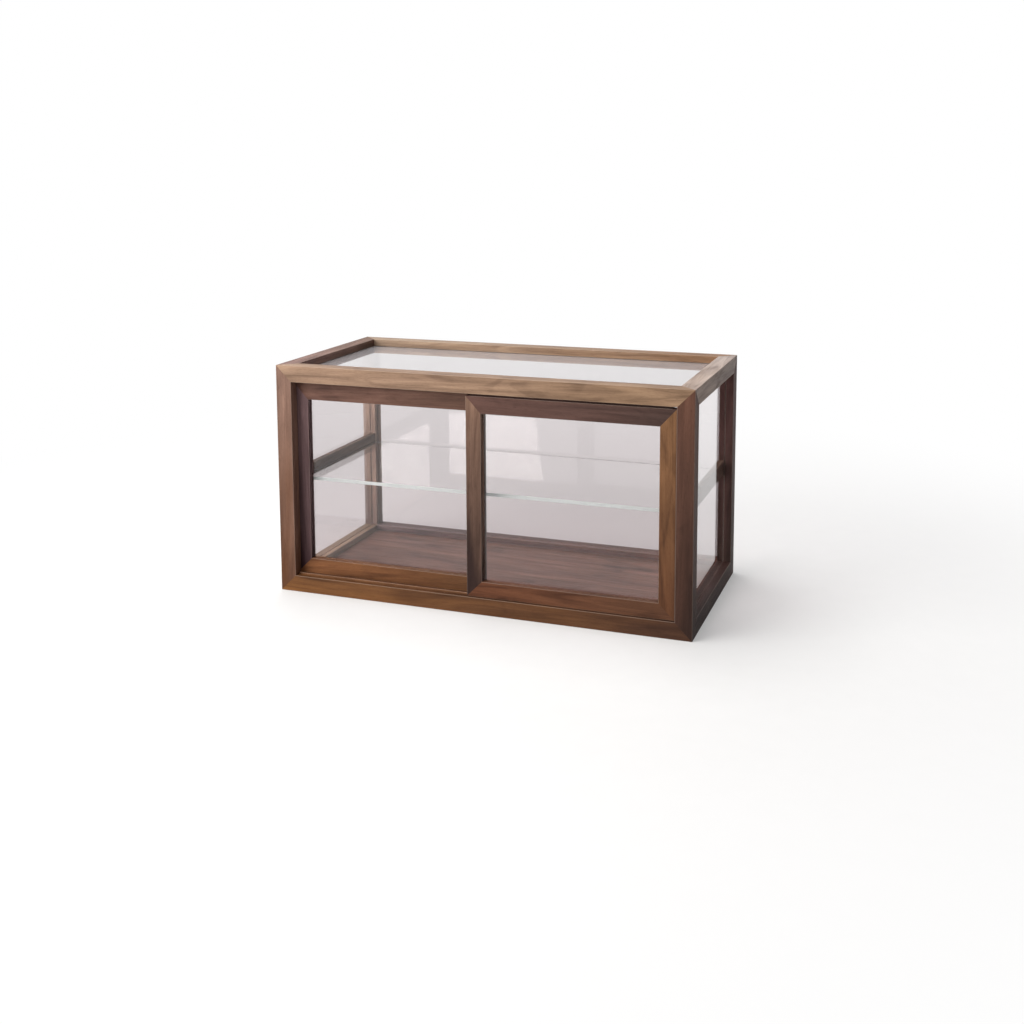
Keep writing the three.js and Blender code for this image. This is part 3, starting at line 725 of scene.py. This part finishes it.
# %% Small timber
FINE_EASE = 0.4 * MM
BOARD_EASE = 0.8 * MM
STRIP_ROOF = 1.7 * MM  # wood left over the tongue's channel


def filled_box(node):
    """A cube brought to the size and place of a node's box."""
    low, high = (Vector(corner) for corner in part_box(node))
    bm = new_bar()
    bmesh.ops.create_cube(bm, size=1.0)
    bmesh.ops.scale(bm, vec=high - low, verts=bm.verts)
    bmesh.ops.translate(bm, vec=(low + high) / 2, verts=bm.verts)
    return bm


def planed(node, ease):
    bm = filled_box(node)
    ease_arrises(bm, ease, 0.0)
    return bm


runner_wood = wood("runner_wood", "x", (124, 84, 56), (100, 68, 48), 12.2)
for node in ("front_runner", "rear_runner"):
    put(planed(node, FINE_EASE), "rib_" + node, "case", [runner_wood], node)

board_wood = wood("floor_board_wood", "x", (112, 78, 66), (119, 81, 67), 13.7, streak=1.1, smudge=0.8)
put(planed("floor_board", BOARD_EASE), "panel_floor_board", "case",
    [board_wood], "floor_board")


def long_strip(node, outline, look):
    low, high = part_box(node)
    bm = new_bar()
    extrude_outline(bm, outline, Vector((low[0], 0, 0)), Y, Z, X * (high[0] - low[0]))
    ease_arrises(bm, FINE_EASE, MOST * (high[0] - low[0]))
    put(bm, "strip_" + node, "case", [look], node)


(_, y0, z0), (_, y1, z1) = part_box("head_strip")
channel = rear_face + TONGUE[1] + SLOT_END
roof = z1 - STRIP_ROOF
long_strip("head_strip", [(y0, roof), (channel, roof), (channel, z0), (y1, z0), (y1, z1), (y0, z1)],
           wood("head_strip_wood", "x", (96, 70, 56), (84, 60, 48), 14.1))
(_, y0, z0), (_, y1, z1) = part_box("sill_strip")
seat_low, seat_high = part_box("rear_runner")
step = seat_high[1] + SLOT_FIT
seat = seat_low[2] - SLOT_FIT
long_strip("sill_strip", [(y0, z0), (y1, z0), (y1, z1), (step, z1), (step, seat), (y0, seat)],
           wood("sill_strip_wood", "x", (110, 78, 56), (96, 66, 48), 15.6))

# %% Grooved bars at the shelf's ends
SHELF_PLAY = 0.25 * MM  # round the shelf in its groove
rear_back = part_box("left_door_foot_rail")[1][1]
rear_edge = abs(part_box("left_door_left_stile")[0][0])
shelf_low, shelf_high = (Vector(corner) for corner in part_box("shelf"))
for side in (-1, 1):
    node = side_word(side) + "_shelf_bar"
    low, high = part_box(node)
    near, far = sorted((abs(low[0]), abs(high[0])))
    thin, back_off = rear_edge + DOOR_PLAY, rear_back + DOOR_PLAY
    groove_end = shelf_high.x + SHELF_PLAY
    foot, roof = shelf_low.z - SHELF_PLAY, shelf_high.z + SHELF_PLAY
    profile = [(near, low[2]), (far, low[2]), (far, high[2]), (near, high[2]),
               (near, roof), (groove_end, roof), (groove_end, foot), (near, foot)]
    bm = new_bar()
    extrude_outline(bm, [(side * x, z) for x, z in profile], Vector((0, back_off, 0)), X, Z,
                    Y * (high[1] - back_off))
    cheek = {0: tuple(sorted((side * thin, side * (far + MM))))}
    push_patch(bm, 1, back_off, cheek, Y * (low[1] - back_off))
    ease_arrises(bm, FINE_EASE, MOST * (high[1] - low[1]))
    look = wood(node + "_wood", "y", (80, 62, 55), (118, 95, 76), 16.0 + 2.3 * side, (low[1], high[1]))
    put(bm, "bar_" + node, "case", [look], node)
print("strips, runners and shelf bars made")

# %% [markdown]
# ## Panes and shelf
# A pane is cut, and then its sharp rim is ground. A small bevel round every edge does that, and the rim
# gets the aqua edge material, while the two faces stay clear. Only the shelf's front edge is polished
# bright; its other edges are hidden in wood or close to the back glass, and stay dull.

# %% Cut and grind the glass
GROUND = 0.35 * MM  # bevel on every edge
FLAT = 0.999        # a normal straighter than this is on a pane's face
FORWARD = -0.3      # a normal with less y than this looks forwards


def pane(node, body, slot, face_glass, rims, name):
    low, high = (Vector(corner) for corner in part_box(node))
    size = high - low
    flat = min(range(3), key=lambda axis: size[axis])
    bm = filled_box(node)
    bmesh.ops.bevel(bm, geom=bm.edges[:], offset=GROUND, offset_type="OFFSET", segments=2,
                    profile=0.5, affect="EDGES", clamp_overlap=True, material=-1)
    bmesh.ops.recalc_face_normals(bm, faces=bm.faces)
    for face in bm.faces:
        rim = 1 if face.normal.y < FORWARD else len(rims)
        face.material_index = 0 if abs(face.normal[flat]) > FLAT else rim
    put(bm, name, body, [face_glass, *rims], node)
    print(name, [round(value / MM) for value in size], "mm")


for node in ("top_pane", "back_pane", "left_pane", "right_pane"):
    face_glass = top_glass if node == "top_pane" else pane_glass
    pane(node, "case", "clear_glass", face_glass, [pane_edge], "glass_" + node)
for door in DOOR_TONE_AND_SHADE:
    pane(door + "_pane", door, "clear_glass", pane_glass, [pane_edge], "glass_" + door)
pane("shelf", "case", "shelf_glass", shelf_glass, [shelf_edge, hidden_edge], "glass_shelf")

# %% [markdown]
# ## Dowels, keys and hangers
# Wooden dowels hold the frame's mitres and loose keys hold the doors'. They are turned and cut in the
# CAD model already, so they keep that shape and only get their wood. The hanger plates keep theirs too,
# and their screws are spun from a half profile, with a driver slot pushed into the head.

# %% Pins and plates
pin_wood = {axis: wood("pin_wood_" + axis, axis, (196, 170, 132), (188, 160, 124), 17.3, smudge=0.0)
            for axis in "xz"}
for name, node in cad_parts.items():
    if name.endswith("_dowel") or "_key_" in name:
        node.data.materials.clear()
        node.data.materials.append(pin_wood["x" if "_key_" in name else "z"])
    if name.endswith("_hanger_plate"):
        node.data.materials.clear()
        node.data.materials.append(steel)


# %% Spin the screws
SHANK = [(1.3, 1.6), (1.3, 7.0), (0.3, 9.0)]  # mm out from the middle, mm back from the face
HEAD_RIM = 0.25                               # mm
DRIVER_SLOT = (2.3 * MM, 0.4 * MM)            # half its length, half its width
DRIVER_DEPTH = 0.8 * MM


def screw(node):
    low, high = (Vector(corner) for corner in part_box(node))
    middle, head = (low + high) / 2, (high.x - low.x) / 2
    face = high.y
    bm = new_bar()
    rim = [(head, 0.0), (head, HEAD_RIM * MM)] + [(r * MM, y * MM) for r, y in SHANK]
    chain = [bm.verts.new((middle.x + r, face - y, middle.z)) for r, y in rim]
    edges = [bm.edges.new(pair) for pair in zip(chain, chain[1:])]
    bmesh.ops.spin(bm, geom=chain + edges, cent=middle, axis=Y, angle=math.tau, steps=24, use_merge=True)
    bmesh.ops.remove_doubles(bm, verts=bm.verts, dist=ON_PLANE)
    bmesh.ops.holes_fill(bm, edges=[e for e in bm.edges if e.is_boundary], sides=0)
    slot = {axis: (middle[axis] - half, middle[axis] + half) for axis, half in zip((0, 2), DRIVER_SLOT)}
    push_patch(bm, 1, face, slot, -DRIVER_DEPTH * Y)
    put(bm, "fixing_" + node, "case", [steel], node)


for word in ("left", "right"):
    for number in (1, 2):
        screw("%s_hanger_screw_%d" % (word, number))
print("fittings made")
